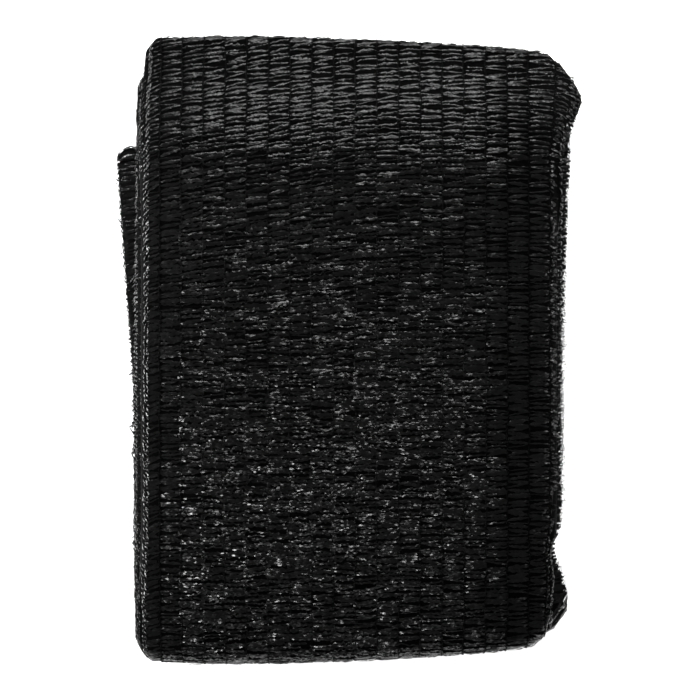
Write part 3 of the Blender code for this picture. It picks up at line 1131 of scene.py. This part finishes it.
cut_chance = np.random.default_rng(51)
fine = np.linspace(-HALF_WIDTH, HALF_WIDTH, FACE_COLUMNS)[None, :]
drop_end = [points[0] for points in drop_points(fine, np.ones((1, 1)))]
bottom_end = [points[0] for points in layer_points(0, fine, np.zeros((1, 1)))]
drop_way = (0.0, -math.cos(DROP_ANGLE), -math.sin(DROP_ANGLE))
cut_parts = cut_end(*drop_end, drop_way, cut_chance)
cut_parts += cut_end(*bottom_end, (0.0, -1.0, 0.0), cut_chance)
cut_net = make_piece("cut_ends", *joined(cut_parts), edge_film)


# --------------------------------
# The whole net is one cut length. All the strands above are knitted into it, and are listed
# here.

strands = [top_tapes, fan_tapes, top_chains, end_net, left_tapes, right_tapes]
strands += [margin_net, cut_net]


# --------------------------------
# The studio: a plain pale floor, two soft lights past the back end of the pack, a low one
# at its left and a weak one at its right, bright walls, and a camera straight above it.

FLOOR_SIZE = 12.0
CAMERA_HEIGHT = 1.10
CAMERA_AIM = (0.00175, 0.0003)
VIEW_WIDTH = 0.4078
SENSOR_WIDTH = 36.0
WALL_STRENGTH, MORE_AT_BACK, LESS_AT_RIGHT = 1.5, 0.7, 0.3
WALL_STOPS = [(0.2, (1.0, 1.0, 1.0, 1.0)), (0.52, (0.165, 0.165, 0.165, 1.0))]

# The floor is a white table, lit through a little from below.
FLOOR_LOOK = {
    "Base Color": (0.86, 0.86, 0.86, 1.0),
    "Roughness": 0.7,
    "Specular IOR Level": 0.2,
    "Emission Color": (1.0, 1.0, 1.0, 1.0),
    "Emission Strength": 0.8,
}


def add_floor():
    mesh = bpy.data.meshes.new("floor")
    half = FLOOR_SIZE / 2
    corners = [(-half, -half, 0.0), (half, -half, 0.0), (half, half, 0.0), (-half, half, 0.0)]
    mesh.from_pydata(corners, [], [(0, 1, 2, 3)])
    mesh.materials.append(new_material("pale_floor", FLOOR_LOOK)[0])
    floor = bpy.data.objects.new("floor", mesh)
    bpy.context.scene.collection.objects.link(floor)


def add_light(name, place, size, power):
    """A soft rectangular light that faces the pack."""
    light = bpy.data.lights.new(name, "AREA")
    light.shape = "RECTANGLE"
    light.size, light.size_y = size
    light.energy = power
    lamp = bpy.data.objects.new(name, light)
    lamp.location = place
    direction = -lamp.location.normalized()
    lamp.rotation_euler = direction.to_track_quat("-Z", "Y").to_euler()
    bpy.context.scene.collection.objects.link(lamp)


def add_world():
    """Bright walls low down, dimmer at the front and the right, and a dark ceiling."""
    world = bpy.data.worlds.new("studio")
    bpy.context.scene.world = world
    world.use_nodes = True
    tree = world.node_tree
    place = place_of(tree, "Generated")
    right, back, up = (axis_of(tree, place, number) for number in range(3))
    ramp = Shade.node(tree, "ShaderNodeValToRGB", {"stops": WALL_STOPS}, {0: up})
    strength = WALL_STRENGTH + back * MORE_AT_BACK - right * LESS_AT_RIGHT
    background = tree.nodes["Background"]
    link(tree, ramp, background.inputs["Color"])
    link(tree, strength, background.inputs["Strength"])


def add_camera():
    camera = bpy.data.cameras.new("camera")
    camera.sensor_width = SENSOR_WIDTH
    camera.lens = SENSOR_WIDTH * CAMERA_HEIGHT / VIEW_WIDTH
    holder = bpy.data.objects.new("camera", camera)
    holder.location = (*CAMERA_AIM, cad_box[1][2] + CAMERA_HEIGHT)
    bpy.context.scene.collection.objects.link(holder)
    bpy.context.scene.camera = holder


add_floor()
add_world()
add_light("back_light", (0.0, 0.87, 0.93), (1.0, 0.25), 18.5)
add_light("left_light", (-1.3, 0.1, 0.35), (1.0, 0.35), 45.0)
add_light("right_light", (1.3, 0.1, 0.35), (1.0, 0.35), 3.0)
add_light("back_glow", (0.0, 0.87, 0.93), (1.6, 0.6), 7.0)
add_camera()
bpy.context.scene.view_settings.view_transform = "Standard"
